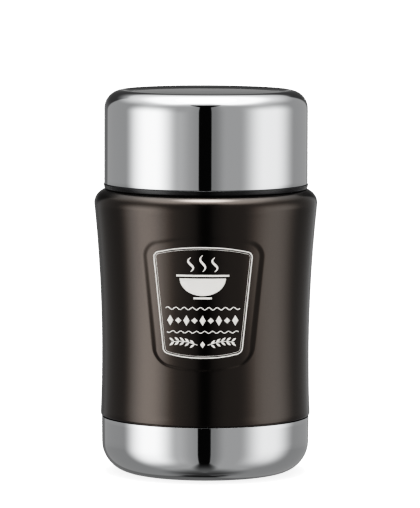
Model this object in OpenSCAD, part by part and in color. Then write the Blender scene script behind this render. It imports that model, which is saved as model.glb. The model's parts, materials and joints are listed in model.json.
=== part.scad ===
/* [Overall] */
// Height of the closed jar
total_h = 168; // [140:1:202]
// Largest diameter, at the shoulder
shoulder_d = 98; // [81.7:0.1:118]

/* [Body shell] */
// Height of the lid and its rim ring, from the shoulder to the top
lid_stack_h = 43.4; // [36.2:0.1:52]
// Height of the seam between base cup and body
seam_z = 24.7; // [20.6:0.1:29.6]
// Open width of the seam
seam_gap = 0.4; // [0.2:0.1:0.8]
// How far the waist lies inside the shoulder, on the radius
waist_in = 3.5; // [2.9:0.1:4.2]
// Height of the waist above the seam
waist_up = 27.3; // [22.7:0.1:32.8]
// Rounding of the shoulder
shoulder_fillet = 6; // [5:0.1:7.2]
// Rounding of the body's lower edge
hem_fillet = 0.8; // [0.6:0.1:1]
// Sheet thickness of the outer shell
shell_wall = 0.5; // [0.4:0.05:0.7]

/* [Front panel] */
// Depth of the pressed-in panel
panel_depth = 0.5; // [0.3:0.05:0.7]
// Distance from the shoulder down to the panel's top corners
panel_top_margin = 20.6; // [17:0.1:24]
// Distance from the seam up to the panel's bottom corners
panel_bottom_margin = 27.6; // [23:0.1:33]
// Width between the panel's top corners
panel_top_w = 52.6; // [44:0.1:60]
// Width between the panel's bottom corners
panel_bottom_w = 42; // [35:0.1:50]
// Rise of the arched top and bottom edges above and below the corners
panel_arch = 4.6; // [3.4:0.1:5.4]
// Rounding of the panel's corners
panel_corner_r = 6; // [5:0.1:7.5]

/* [Base cup] */
// How far the cup's upper edge lies inside the body's lower edge
base_step = 0.45; // [0.3:0.05:0.6]
// How much narrower the cup is at the foot than at the seam, on the radius
base_taper = 0.3; // [0:0.05:0.4]
// Rounding of the foot
base_fillet = 13; // [10.8:0.1:15.6]
// Sheet thickness of the cup
base_wall = 0.5; // [0.4:0.05:0.7]
// Width of the flat ring that the jar stands on
foot_ring_w = 3.5; // [2.5:0.1:5]
// Height of the recess inside that ring
foot_recess_h = 1.8; // [1:0.1:2.2]

/* [Inner liner] */
// Open width of the vacuum space at the waist
vacuum_gap = 4.5; // [3.8:0.1:5.4]
// Sheet thickness of the liner
liner_wall = 0.5; // [0.4:0.05:0.7]
// Height of the liner's underside
liner_z = 10; // [9:0.1:12]
// Rounding of the liner's bottom
liner_fillet = 12; // [10:0.5:14.4]
// Open width of the vacuum space in the neck
neck_gap = 1.6; // [1.2:0.1:2]
// Width of the ledge that the stopper seals on
ledge_w = 2.6; // [2.2:0.1:3.1]

/* [Neck and threads] */
// Height of the mouth above the shoulder
neck_h = 16; // [14:0.1:19.2]
// Depth of the sealing ledge below the mouth
ledge_depth = 19; // [17:0.5:21]
// Wall of the neck collar
collar_wall = 1.5; // [1.2:0.1:1.8]
// Rise of both threads in one turn
thread_lead = 12; // [12:1:14]
// Height of the lid thread's ridges
lid_thread_h = 1.4; // [1.1:0.1:1.7]
// Height of the stopper thread's ridges
plug_thread_h = 1.1; // [0.9:0.1:1.3]
// Radial gap between meshing threads
thread_clear = 0.4; // [0.3:0.05:0.5]

/* [Lid] */
// How far the lid lies inside the shoulder, on the radius
lid_step = 4.4; // [3.7:0.1:5.2]
// Rounding of the lid's top edge
lid_fillet = 7.5; // [6.3:0.1:9]
// Depth of the shallow dish in the lid's top
lid_dish = 0.7; // [0.5:0.1:0.9]
// Sheet thickness of the lid shell
lid_wall = 0.5; // [0.4:0.05:0.7]
// Wall of the lid's moulded liner
lid_liner_wall = 2.2; // [1.9:0.1:2.6]
// Height of the dark rim ring
rim_h = 2.4; // [2:0.1:2.9]
// How far the rim ring stands out past the lid
rim_proud = 0.4; // [0.2:0.05:0.5]
// How far the rim ring tapers in towards the shoulder
rim_taper = 0.6; // [0.4:0.1:0.8]

/* [Stopper] */
// Wall of the stopper's moulded body
plug_wall = 2; // [1.7:0.1:2.4]
// Thickness of the stopper's flange
flange_t = 2; // [1.7:0.1:2.4]
// How far the flange reaches past the plug
flange_w = 3.9; // [3.3:0.1:4.4]
// Height of the sealing ring
seal_h = 1.9; // [1.6:0.1:2.2]
// Radius of the grip on the stopper's cover
knob_r = 20; // [17:0.5:23]
// Height of that grip above the flange
knob_h = 7.6; // [6.4:0.1:8.4]
// Number of finger flutes round the grip
flutes = 10; // [6:1:12]

/* [Vent valve] */
// Radius of the push button
button_r = 7.7; // [6.5:0.1:9]
// Travel of the push button
button_travel = 1.5; // [1:0.1:1.6]
// Radius of the valve stem
stem_r = 1.5; // [1.3:0.1:1.8]
// Radius of the sealing disc at the stem's foot
valve_r = 5; // [4.5:0.1:6]
// Radius of the spring's wire
wire_r = 0.3; // [0.25:0.05:0.35]
// Number of turns of the spring
spring_turns = 4; // [3:1:5]

/* [Hidden] */

// facets of round solids, and steps along an arc of an outline
ROUND = 96;
ARC_STEPS = 10;
// gap between fixed pieces, running gap, and gap under a piece that lifts off
fit = 0.1;
run = 0.05;
lift_gap = 0.2;
// radius of a small edge rounding
edge_r = 0.8;
// length that a cutting solid runs past what it cuts
past = 5;

// body shell
shoulder_r = shoulder_d / 2;
shoulder_z = total_h - lid_stack_h;
fillet_c_r = shoulder_r - shoulder_fillet;
fillet_c_z = shoulder_z - shoulder_fillet;
waist_r = shoulder_r - waist_in;
waist_z = seam_z + waist_up;
hem_z = seam_z + seam_gap;
// radius of the one big arc that runs from the hem through the waist into the shoulder's rounding
arc_h = fillet_c_z - waist_z;
arc_a = waist_r - fillet_c_r;
arc_r = (arc_a * arc_a + arc_h * arc_h - shoulder_fillet * shoulder_fillet) / (2 * waist_in);
arc_c_r = waist_r + arc_r;
arc_top_a = atan2(arc_h, arc_r + arc_a);
hem_r = side_r(hem_z + hem_fillet, 0);
// radius of the wide bends in the panel's arched ends, over the panel's width there
panel_bend = 1.5;

// base cup, and the shell's skirt inside it
skirt_dip = 2;
weld_lap = 4;
base_top_r = hem_r - base_step;
base_r = base_top_r - base_taper;
foot_r = base_r - base_fillet;
skirt_r = base_r - base_wall - 2 * fit;
skirt_in_r = skirt_r - shell_wall;
skirt_z = base_fillet - skirt_dip;
bottom_r = skirt_in_r - fit / 2;
bottom_z = 5.5;
bottom_fillet = 9;
bottom_lip_z = skirt_z + weld_lap;

// threads, from the lid inwards to the stopper
lid_r = shoulder_r - lid_step;
lid_liner_r = lid_r - lid_wall - fit;
cup_r = lid_liner_r - lid_liner_wall;
collar_crest_r = cup_r - thread_clear;
collar_r = collar_crest_r - lid_thread_h;
lid_crest_r = collar_r + thread_clear;
neck_r = collar_r - collar_wall - fit;
neck_in_r = neck_r - shell_wall;
liner_neck_r = neck_in_r - neck_gap;
mouth_r = liner_neck_r - liner_wall;
plug_crest_r = mouth_r - thread_clear;
plug_r = plug_crest_r - plug_thread_h;
mouth_crest_r = plug_r + thread_clear;
ledge_r = mouth_r - ledge_w;
thread_starts = 2;
thread_pitch = thread_lead / thread_starts;
ridge_root_w = 2.6;
ridge_crest_w = 1.6;
ridge_bite = 0.3;
ridge_fade_a = 18;
ridge_step_a = 7.5;
// height at angle 0 of each fixed thread, above the ledge and above the shoulder, and the threads' sweeps
plug_thread_up = 5;
lid_thread_up = 3.5;
plug_thread_a = [90, 300];
collar_thread_a = [0, 210];
lid_thread_a = [150, 360];

// neck and liner
mouth_z = shoulder_z + neck_h;
ledge_z = mouth_z - ledge_depth;
liner_r = waist_r - shell_wall - vacuum_gap;
liner_in_r = liner_r - liner_wall;
throat_h = 2;
throat_slope_h = 9;
liner_shoulder_z = ledge_z - throat_h - throat_slope_h;
rim_lip_h = 1.7;
collar_top_z = mouth_z - rim_lip_h - fit;
foil_wall = 0.2;
foil_margin = 3;

// vacuum port and getter
port_r = 1.5;
bead_r = 3.2;
bead_h = 1.3;
getter_x = 16;
getter_r = 7;
getter_t = 1.1;
holder_wall = 0.3;

// lid
rim_top_z = shoulder_z + rim_h;
lid_edge_z = rim_top_z + lift_gap / 2;
rim_edge_r = 0.3;
rim_tongue_h = 2;
rim_tongue_w = 0.5;
rim_tongue_in = 0.85;
rim_tongue_r = cup_r + rim_tongue_in;
dish_slope = 12;
dish_crest_w = 0.4;
dish_z = total_h - lid_dish;
dish_crest_r = lid_r - lid_fillet - dish_crest_w;
dish_r = dish_crest_r - lid_dish / tan(dish_slope);
cup_top_z = dish_z - lid_wall - fit - lid_liner_wall;

// stopper
flange_z = mouth_z + 1.5 * lift_gap;
cover_z = flange_z + flange_t;
flange_r = plug_r + flange_w;
seal_z = ledge_z + fit;
seal_r = plug_r - fit;
seal_seat_z = seal_z + seal_h + fit;
shank_gap = 1.6;
shank_r = ledge_r - shank_gap;
seal_lip_r = shank_r + edge_r;
seal_lip_h = 0.85;
plug_floor_z = seal_z - fit - seal_lip_h;
plug_in_r = plug_r - plug_wall;
shank_in_r = shank_r - plug_wall;
plug_floor_t = 2.2;
shank_floor_z = plug_floor_z + plug_floor_t;
tube_in_r = valve_r + lift_gap;
tube_wall = 1.6;
tube_r = tube_in_r + tube_wall;
cover_t = 2;
cover_step = 0.4;
cover_r = flange_r - cover_step;
spigot_h = 3.3;
spigot_w = 1.8;
knob_wall = 2.6;
knob_top_z = cover_z + knob_h;
flute_r = 6;
flute_depth = 1.4;
well_r = button_r + 3 * fit;
well_wall = 1.6;
well_floor_up = 1.9;
well_floor_z = cover_z + well_floor_up;
well_floor_t = 1.5;

// vent valve
seat_bore_gap = 0.7;
seat_wall = 1.4;
seat_bore_r = stem_r + seat_bore_gap;
seat_hole_r = seat_bore_r + seat_wall;
seat_flange_t = 0.95;
valve_z = plug_floor_z - seat_flange_t - 2 * fit;
valve_t = 1.5;
clip_t = 0.6;
clip_r = 3.2;
button_proud = 1.3;
button_top_z = knob_top_z + button_proud;
button_t = 1.6;
button_wall = 1.3;
button_stop_gap = 0.5;
button_foot_z = well_floor_z + button_travel + button_stop_gap;
hub_wall = 1.7;
spring_r = (stem_r + hub_wall + button_r - button_wall) / 2;

// points of an arc about a centre, from one angle to another
function arc(c, r, from_a, to_a, steps = ARC_STEPS) = [
    for (i = [0:steps])
        let (a = from_a + (to_a - from_a) * i / steps)
        [c[0] + r * cos(a), c[1] + r * sin(a)]
];

// radius of the body's side at a height, on a surface that lies depth inside the outer one
function side_r(z, depth) = arc_c_r - sqrt(pow(arc_r + depth, 2) - pow(z - waist_z, 2));

// the body's side from a height up to the edge of the shoulder's flat, depth inside the outer surface
function side_points(from_z, depth) = concat(
    arc([arc_c_r, waist_z], arc_r + depth, 180 - asin((from_z - waist_z) / (arc_r + depth)), 180 - arc_top_a),
    arc([fillet_c_r, fillet_c_z], shoulder_fillet - depth, -arc_top_a, 90)
);

function reverse(points) = [for (i = [len(points) - 1:-1:0]) points[i]];

// a corner's rounding: the arc that touches both of the lines that meet there
function corner_points(before, corner, after, r) =
    let (
        u = (before - corner) / norm(before - corner),
        v = (after - corner) / norm(after - corner),
        half_a = acos(u * v) / 2,
        c = corner + (u + v) / norm(u + v) * r / sin(half_a),
        start = corner + u * r / tan(half_a) - c,
        end = corner + v * r / tan(half_a) - c,
        start_a = atan2(start[1], start[0]),
        turn = atan2(start[0] * end[1] - start[1] * end[0], start * end)
    )
    arc(c, r, start_a, start_a + turn, 6);

function rounded_polygon(corners, radii) = [
    for (i = [0:len(corners) - 1])
        each corner_points(
            corners[(i + len(corners) - 1) % len(corners)],
            corners[i],
            corners[(i + 1) % len(corners)],
            radii[i]
        )
];

// a closed solid through a list of rings of points
module sweep(rings) {
    sides = len(rings[0]);
    last = len(rings) - 1;
    function at(i, j) = i * sides + j % sides;
    polyhedron(
        points = [for (ring = rings) each ring],
        faces = concat(
            [[for (j = [sides - 1:-1:0]) at(0, j)]],
            [[for (j = [0:sides - 1]) at(last, j)]],
            [for (i = [0:last - 1], j = [0:sides - 1]) [at(i, j), at(i, j + 1), at(i + 1, j + 1)]],
            [for (i = [0:last - 1], j = [0:sides - 1]) [at(i, j), at(i + 1, j + 1), at(i + 1, j)]]
        )
    );
}

// one thread ridge on a wall of radius root_r. Its height is zero_z at angle 0, and rises with the lead
module thread_ridge(root_r, crest_r, zero_z, sweep_a) {
    from_a = sweep_a[0];
    to_a = sweep_a[1];
    out = crest_r > root_r ? 1 : -1;
    foot = root_r - out * ridge_bite;
    sunk = root_r - out * ridge_bite / 3;
    count = round((to_a - from_a) / ridge_step_a);
    sweep([
        for (i = [0:count])
            let (
                a = from_a + (to_a - from_a) * i / count,
                full = min(1, (a - from_a) / ridge_fade_a, (to_a - a) / ridge_fade_a),
                crest = sunk + (crest_r - sunk) * full,
                z = zero_z + thread_lead * a / 360,
                inner = min(foot, crest),
                outer = max(foot, crest),
                inner_w = out > 0 ? ridge_root_w : ridge_crest_w,
                outer_w = out > 0 ? ridge_crest_w : ridge_root_w
            )
            [
                [inner * cos(a), inner * sin(a), z - inner_w / 2],
                [outer * cos(a), outer * sin(a), z - outer_w / 2],
                [outer * cos(a), outer * sin(a), z + outer_w / 2],
                [inner * cos(a), inner * sin(a), z + inner_w / 2]
            ]
    ]);
}

// all ridges of a thread, one for each start
module thread(root_r, crest_r, zero_z, sweep_a) {
    for (i = [0:thread_starts - 1])
        rotate([0, 0, 360 * i / thread_starts])
            thread_ridge(root_r, crest_r, zero_z, sweep_a);
}

module revolve(points) {
    rotate_extrude($fn = ROUND)
        polygon(points);
}

module disc(r, z, h) {
    translate([0, 0, z])
        cylinder(r = r, h = h, $fn = ROUND);
}

module ring(outer_r, inner_r, z, h) {
    difference() {
        disc(outer_r, z, h);
        disc(inner_r, z - past, h + 2 * past);
    }
}

// the body's solid core, depth inside the outer surface
module body_core(depth) {
    revolve(concat([[0, hem_z + edge_r]], side_points(hem_z + edge_r, depth), [[0, shoulder_z - depth]]));
}

// a prism through the front wall with the panel's outline, grown by a margin
module panel_prism(grow) {
    top_z = shoulder_z - panel_top_margin + grow;
    low_z = seam_z + panel_bottom_margin - grow;
    top_w = panel_top_w / 2 + grow;
    low_w = panel_bottom_w / 2 + grow;
    rise = panel_arch;
    rotate([90, 0, 0])
        linear_extrude(shoulder_r + past)
            polygon(rounded_polygon(
                [[top_w, top_z], [0, top_z + rise], [-top_w, top_z], [-low_w, low_z], [0, low_z - rise], [low_w, low_z]],
                [panel_corner_r, panel_bend * panel_top_w, panel_corner_r,
                 panel_corner_r, panel_bend * panel_bottom_w, panel_corner_r]
            ));
}

// Painted steel outer shell: skirt, waisted body, shoulder and neck, with the pressed-in front panel
module outer_shell() {
    side_z = hem_z + hem_fillet + fit;
    color("#2e2823")
        difference() {
            union() {
                revolve(concat(
                    [[skirt_r, skirt_z], [skirt_r, hem_z]],
                    arc([hem_r - hem_fillet, hem_z + hem_fillet], hem_fillet, -90, 0, 4),
                    side_points(side_z, 0),
                    [[neck_r, shoulder_z], [neck_r, mouth_z - liner_wall], [neck_in_r, mouth_z - liner_wall]],
                    [[neck_in_r, shoulder_z - shell_wall]],
                    reverse(side_points(side_z, shell_wall)),
                    [[hem_r - hem_fillet, hem_z + shell_wall], [skirt_in_r, hem_z + shell_wall]],
                    [[skirt_in_r, skirt_z]]
                ));
                intersection() {
                    panel_prism(shell_wall);
                    difference() {
                        body_core(shell_wall / 2);
                        body_core(panel_depth + shell_wall);
                    }
                }
            }
            difference() {
                panel_prism(0);
                body_core(panel_depth);
            }
        }
}

// Steel inner liner: food space, sealing ledge, threaded neck, and the rim folded over the shell's neck
module inner_liner() {
    fold_in_r = neck_r + fit;
    fold_r = fold_in_r + liner_wall;
    corner_z = liner_z + liner_fillet;
    color("#b9babb")
        union() {
            revolve(concat(
                [[0, liner_z]],
                arc([liner_r - liner_fillet, corner_z], liner_fillet, -90, 0),
                [[liner_r, liner_shoulder_z], [ledge_r + liner_wall, ledge_z - throat_h]],
                [[ledge_r + liner_wall, ledge_z - liner_wall], [liner_neck_r, ledge_z - liner_wall]],
                [[liner_neck_r, mouth_z - liner_wall], [fold_in_r, mouth_z - liner_wall]],
                [[fold_in_r, mouth_z - rim_lip_h], [fold_r, mouth_z - rim_lip_h]],
                arc([fold_r - liner_wall, mouth_z - liner_wall], liner_wall, 0, 90, 4),
                [[mouth_r, mouth_z], [mouth_r, ledge_z], [ledge_r, ledge_z], [ledge_r, ledge_z - throat_h]],
                [[liner_in_r, liner_shoulder_z]],
                arc([liner_r - liner_fillet, corner_z], liner_fillet - liner_wall, 0, -90),
                [[0, liner_z + liner_wall]]
            ));
            thread(mouth_r, mouth_crest_r, ledge_z + plug_thread_up, plug_thread_a);
        }
}

// Steel bottom of the outer shell, with its raised lip welded inside the skirt and the vacuum port
module shell_bottom() {
    color("#a8a9aa")
        difference() {
            revolve(concat(
                [[0, bottom_z]],
                arc([bottom_r - bottom_fillet, bottom_z + bottom_fillet], bottom_fillet, -90, 0),
                [[bottom_r, bottom_lip_z], [bottom_r - shell_wall, bottom_lip_z]],
                arc([bottom_r - bottom_fillet, bottom_z + bottom_fillet], bottom_fillet - shell_wall, 0, -90),
                [[0, bottom_z + shell_wall]]
            ));
            disc(port_r, bottom_z - past, 2 * past);
        }
}

// Copper foil wrapped round the liner, which reflects radiant heat
module heat_shield_foil() {
    low_z = liner_z + liner_fillet + foil_margin;
    color("#b87348")
        ring(liner_r + fit + foil_wall, liner_r + fit, low_z, liner_shoulder_z - foil_margin - low_z);
}

// Shallow steel dish that holds the getter
module getter_holder() {
    floor_z = bottom_z + shell_wall;
    color("#8f9193")
        translate([getter_x, 0, 0])
            difference() {
                disc(getter_r + holder_wall, floor_z, getter_t);
                disc(getter_r, floor_z + holder_wall, past);
            }
}

// Pressed getter pellet, which keeps the vacuum
module getter() {
    color("#55585c")
        translate([getter_x, 0, 0])
            disc(getter_r - fit, bottom_z + shell_wall + holder_wall, getter_t);
}

// Solder bead that closes the vacuum port
module vacuum_seal_bead() {
    color("#c9c4b8")
        union() {
            disc(bead_r, bottom_z - bead_h, bead_h);
            disc(port_r - fit / 2, bottom_z - bead_h, bead_h + shell_wall);
        }
}

// Moulded collar on the neck, with the lid's thread
module neck_collar() {
    color("#17181a")
        union() {
            ring(collar_r, neck_r + fit / 2, shoulder_z, collar_top_z - shoulder_z);
            thread(collar_r, collar_crest_r, shoulder_z + lid_thread_up, collar_thread_a);
        }
}

// Polished steel cup over the lower end of the body, with a ring to stand on
module base_cup() {
    recess_r = foot_r - foot_ring_w;
    slope_r = recess_r - foot_recess_h;
    color("#c9cbcd")
        revolve(concat(
            [[0, foot_recess_h], [slope_r, foot_recess_h], [recess_r, 0]],
            arc([foot_r, base_fillet], base_fillet, -90, 0),
            arc([base_top_r - base_wall / 2, seam_z - base_wall / 2], base_wall / 2, 0, 180, 4),
            arc([foot_r, base_fillet], base_fillet - base_wall, 0, -90),
            [[recess_r + base_wall / 2, base_wall], [slope_r + base_wall / 2, foot_recess_h + base_wall]],
            [[0, foot_recess_h + base_wall]]
        ));
}

// Silicone ring that seals the plug on the ledge
module stopper_seal() {
    c_z = seal_z + seal_h / 2;
    color("#3d4043")
        revolve(concat(
            arc([seal_r - seal_h / 2, c_z], seal_h / 2, -90, 90),
            [[shank_r + lift_gap, seal_z + seal_h], [shank_r + lift_gap, seal_z]]
        ));
}

// Moulded plug of the stopper: threaded wall, floor with the seal's groove, flange and valve tube
module stopper_body() {
    floor_top_z = seal_seat_z + plug_wall;
    tube_top_z = well_floor_z - well_floor_t - fit;
    color("#1c1d1f")
        union() {
            revolve([
                [seat_hole_r, plug_floor_z], [seal_lip_r, plug_floor_z], [seal_lip_r, plug_floor_z + seal_lip_h],
                [shank_r, plug_floor_z + seal_lip_h], [shank_r, seal_seat_z], [plug_r, seal_seat_z],
                [plug_r, flange_z], [flange_r, flange_z], [flange_r, cover_z], [plug_in_r, cover_z],
                [plug_in_r, floor_top_z], [shank_in_r, floor_top_z], [shank_in_r, shank_floor_z],
                [tube_r, shank_floor_z], [tube_r, tube_top_z], [tube_in_r, tube_top_z],
                [tube_in_r, shank_floor_z], [seat_hole_r, shank_floor_z]
            ]);
            thread(plug_r, plug_crest_r, ledge_z + plug_thread_up - thread_pitch / 2, plug_thread_a);
        }
}

// Moulded cover of the stopper, with a fluted grip and the button's well
module stopper_cover() {
    spigot_r = plug_in_r - fit;
    roof_z = knob_top_z - knob_wall;
    color("#232527")
        difference() {
            revolve(concat(
                [[spigot_r - spigot_w, cover_z - spigot_h], [spigot_r, cover_z - spigot_h]],
                [[spigot_r, cover_z], [cover_r, cover_z]],
                arc([cover_r - edge_r, cover_z + cover_t - edge_r], edge_r, 0, 90, 5),
                arc([knob_r + 2 * edge_r, cover_z + cover_t + 2 * edge_r], 2 * edge_r, -90, -180, 5),
                arc([knob_r - 2 * edge_r, knob_top_z - 2 * edge_r], 2 * edge_r, 0, 90, 5),
                arc([well_r + edge_r, knob_top_z - edge_r], edge_r, 90, 180, 5),
                [[well_r, well_floor_z], [stem_r + fit, well_floor_z], [stem_r + fit, well_floor_z - well_floor_t]],
                [[well_r + well_wall, well_floor_z - well_floor_t], [well_r + well_wall, roof_z]],
                [[knob_r - knob_wall, roof_z], [knob_r - knob_wall, cover_z + cover_t / 2]],
                [[spigot_r - spigot_w, cover_z + cover_t / 2]]
            ));
            for (i = [0:flutes - 1])
                rotate([0, 0, 360 * i / flutes])
                    translate([knob_r + flute_r - flute_depth, 0, 0])
                        disc(flute_r, cover_z + cover_t + edge_r, knob_h);
        }
}

// Foam insulation inside the stopper
module stopper_foam() {
    step_z = seal_seat_z + plug_wall + fit;
    top_z = cover_z - spigot_h - fit;
    color("#d8d5cc")
        revolve([
            [tube_r + fit, shank_floor_z + fit], [shank_in_r - fit, shank_floor_z + fit],
            [shank_in_r - fit, step_z], [plug_in_r - fit, step_z],
            [plug_in_r - fit, top_z], [tube_r + fit, top_z]
        ]);
}

// Silicone bush in the stopper's floor that the valve disc closes against
module valve_seat() {
    low_z = plug_floor_z - seat_flange_t;
    top_z = shank_floor_z + seat_flange_t;
    color("#8d9296")
        revolve([
            [seat_bore_r, low_z], [valve_r + run, low_z], [valve_r + run, plug_floor_z],
            [seat_hole_r - run, plug_floor_z], [seat_hole_r - run, shank_floor_z],
            [valve_r, shank_floor_z], [valve_r, top_z], [seat_bore_r, top_z]
        ]);
}

// Compression spring under the push button
module vent_spring() {
    low_z = well_floor_z + wire_r + run;
    rise = button_top_z - button_t - wire_r - run - low_z;
    steps = spring_turns * 20;
    color("#9a9c9e")
        sweep([
            for (i = [0:steps])
                let (a = 360 * spring_turns * i / steps)
                [
                    for (b = [0:45:315])
                        let (r = spring_r + wire_r * cos(b))
                        [r * cos(a), r * sin(a), low_z + rise * i / steps + wire_r * sin(b)]
                ]
        ]);
}

// Push button that lets the vacuum out of the food space
module vent_button() {
    hub_r = stem_r + hub_wall;
    roof_z = button_top_z - button_t;
    color("#b8bcc0")
        revolve(concat(
            [[stem_r + run, button_foot_z], [hub_r, button_foot_z], [hub_r, roof_z]],
            [[button_r - button_wall, roof_z], [button_r - button_wall, button_foot_z]],
            [[button_r, button_foot_z]],
            arc([button_r - edge_r, button_top_z - edge_r], edge_r, 0, 90, 5),
            [[0, button_top_z], [0, roof_z], [stem_r + run, roof_z]]
        ));
}

// Steel stem from the button down to the valve disc
module valve_stem() {
    foot_z = valve_z - valve_t - clip_t - 2 * fit;
    color("#b4b6b8")
        disc(stem_r, foot_z, button_top_z - button_t - fit - foot_z);
}

// Silicone disc that closes the vent from below
module valve_disc() {
    color("#8d9296")
        ring(valve_r, stem_r + run, valve_z - valve_t + fit, valve_t);
}

// Push-on steel clip that holds the valve disc on the stem
module stem_clip() {
    color("#8a8c8e")
        ring(clip_r, stem_r + run / 2, valve_z - valve_t - clip_t + fit, clip_t);
}

// Dark moulded ring under the lid's edge, tongued into the lid's liner
module lid_rim_ring() {
    low_z = shoulder_z + lift_gap;
    top_r = lid_r + rim_proud;
    low_r = top_r - rim_taper;
    color("#0e0e0f")
        revolve(concat(
            [[cup_r + fit, low_z], [low_r, low_z]],
            arc([top_r - rim_edge_r, rim_top_z - rim_edge_r], rim_edge_r, 0, 90, 4),
            [[rim_tongue_r + rim_tongue_w, rim_top_z]],
            [[rim_tongue_r + rim_tongue_w, rim_top_z + rim_tongue_h], [rim_tongue_r, rim_top_z + rim_tongue_h]],
            [[rim_tongue_r, rim_top_z], [cup_r + fit, rim_top_z]]
        ));
}

// Polished steel shell of the cup lid
module lid_shell() {
    corner = [lid_r - lid_fillet, total_h - lid_fillet];
    color("#c9cbcd")
        revolve(concat(
            [[lid_r - lid_wall, lid_edge_z], [lid_r, lid_edge_z]],
            arc(corner, lid_fillet, 0, 90),
            [[dish_crest_r, total_h], [dish_r, dish_z], [0, dish_z], [0, dish_z - lid_wall]],
            [[dish_r, dish_z - lid_wall], [dish_crest_r, total_h - lid_wall]],
            arc(corner, lid_fillet - lid_wall, 90, 0)
        ));
}

// Moulded liner of the cup lid, with its thread and the groove for the rim ring's tongue
module lid_liner() {
    corner = [lid_r - lid_fillet, total_h - lid_fillet];
    outer_fillet = lid_fillet - lid_wall - fit;
    inner_fillet = outer_fillet - lid_liner_wall;
    groove_z = rim_top_z + rim_tongue_h + lift_gap;
    groove_in_r = rim_tongue_r - lift_gap;
    groove_r = rim_tongue_r + rim_tongue_w + lift_gap;
    color("#2a2c2e")
        union() {
            revolve(concat(
                [[cup_r, lid_edge_z], [groove_in_r, lid_edge_z], [groove_in_r, groove_z]],
                [[groove_r, groove_z], [groove_r, lid_edge_z], [lid_liner_r, lid_edge_z]],
                arc(corner, outer_fillet, 0, asin(1 - lid_dish / outer_fillet)),
                [[0, dish_z - lid_wall - fit], [0, cup_top_z]],
                arc(corner, inner_fillet, asin(1 - lid_dish / inner_fillet), 0)
            ));
            thread(cup_r, lid_crest_r, shoulder_z + lid_thread_up - thread_pitch / 2, lid_thread_a);
        }
}

outer_shell();
inner_liner();
shell_bottom();
heat_shield_foil();
getter_holder();
getter();
vacuum_seal_bead();
neck_collar();
base_cup();
stopper_seal();
stopper_body();
stopper_cover();
stopper_foam();
valve_seat();
vent_spring();
vent_button();
valve_stem();
valve_disc();
stem_clip();
lid_rim_ring();
lid_shell();
lid_liner();
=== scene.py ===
# %% [markdown]
# # Insulated food jar
# This file dresses a food jar: a lacquered steel body with a pressed-in panel, a polished base cup and a
# polished cup lid, and under the lid a screw stopper with a vent valve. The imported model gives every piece
# its place and its motion. The cells below build a finer skin for each piece and give each its finish.

# %% Load the frame
import json
import math

import bmesh
import bpy
from mathutils import Matrix, Quaternion, Vector


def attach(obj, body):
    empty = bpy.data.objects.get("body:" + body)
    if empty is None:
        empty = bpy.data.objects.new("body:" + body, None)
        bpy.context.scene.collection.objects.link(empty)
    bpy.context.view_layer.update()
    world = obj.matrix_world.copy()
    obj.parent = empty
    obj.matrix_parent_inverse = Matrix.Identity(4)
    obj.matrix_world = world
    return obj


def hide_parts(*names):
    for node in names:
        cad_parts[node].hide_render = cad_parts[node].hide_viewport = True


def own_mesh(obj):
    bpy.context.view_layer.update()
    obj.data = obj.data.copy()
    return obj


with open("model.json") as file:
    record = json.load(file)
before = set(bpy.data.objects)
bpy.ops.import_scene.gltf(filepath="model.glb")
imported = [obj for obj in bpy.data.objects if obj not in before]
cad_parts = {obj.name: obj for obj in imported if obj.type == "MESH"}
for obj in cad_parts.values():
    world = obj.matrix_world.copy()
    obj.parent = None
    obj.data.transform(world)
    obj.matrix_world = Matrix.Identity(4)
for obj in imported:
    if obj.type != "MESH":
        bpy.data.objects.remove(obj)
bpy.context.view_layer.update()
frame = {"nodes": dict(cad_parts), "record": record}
MM = 0.001

# %% [markdown]
# ## Camera
# A long lens from two metres keeps the jar's upright lines parallel. The camera stands a little above the jar
# and looks down about five degrees, so the lid's top shows as a thin ellipse. It also stands a touch to the
# right of the panel, so the panel points slightly to the left of the picture.

# %% Set up the camera
CAMERA_AT = Vector((1.9, -1940, 277)) * MM
CAMERA_AIM = Vector((1.9, 0, 95.8)) * MM
CAMERA_ROLL, CAMERA_TURN = 0.18, 1.3
SENSOR_WIDTH, FOCAL_LENGTH = 36, 314.3
camera_data = bpy.data.cameras.new("catalogue_camera")
camera_data.sensor_width = SENSOR_WIDTH
camera_data.lens = FOCAL_LENGTH
camera = bpy.data.objects.new("catalogue_camera", camera_data)
camera_side = Matrix.Rotation(math.radians(CAMERA_TURN), 3, "Z")
camera.location = camera_side @ CAMERA_AT
camera.rotation_mode = "QUATERNION"
look = (camera_side @ (CAMERA_AIM - CAMERA_AT)).to_track_quat("-Z", "Y")
camera.rotation_quaternion = look @ Quaternion((0, 0, 1), math.radians(CAMERA_ROLL))
bpy.context.scene.collection.objects.link(camera)
bpy.context.scene.camera = camera
camera_drop = CAMERA_AT - CAMERA_AIM
print("camera looks down by", round(math.degrees(math.atan2(camera_drop.z, -camera_drop.y)), 2), "degrees")

# %% [markdown]
# ## Nodes and colours
# Finishes and lights are built from nodes. One helper adds a node, sets its properties and fills its inputs:
# an input that is given another node's output is linked, and anything else is typed in. A second helper turns
# the hex colours of a paint chart into the linear values that shaders need.

# %% Helpers for nodes and colours
def add_node(tree, kind, inputs=None, **settings):
    """Adds a node with its settings, and returns its first output."""
    made = tree.nodes.new(kind)
    for key, value in settings.items():
        setattr(made, key, value)
    for key, value in (inputs or {}).items():
        if isinstance(value, bpy.types.NodeSocket):
            tree.links.new(value, made.inputs[key])
        else:
            made.inputs[key].default_value = value
    return made.outputs[0] if made.outputs else made


def to_linear(hex_colour):
    """Linear red, green, blue and alpha of an sRGB hex colour."""
    channels = [int(hex_colour[i:i + 2], 16) / 255 for i in (1, 3, 5)]
    return [c / 12.92 if c <= 0.04045 else ((c + 0.055) / 1.055) ** 2.4 for c in channels] + [1]


print("mid grey is", round(to_linear("#808080")[0], 3), "in linear light")

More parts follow.
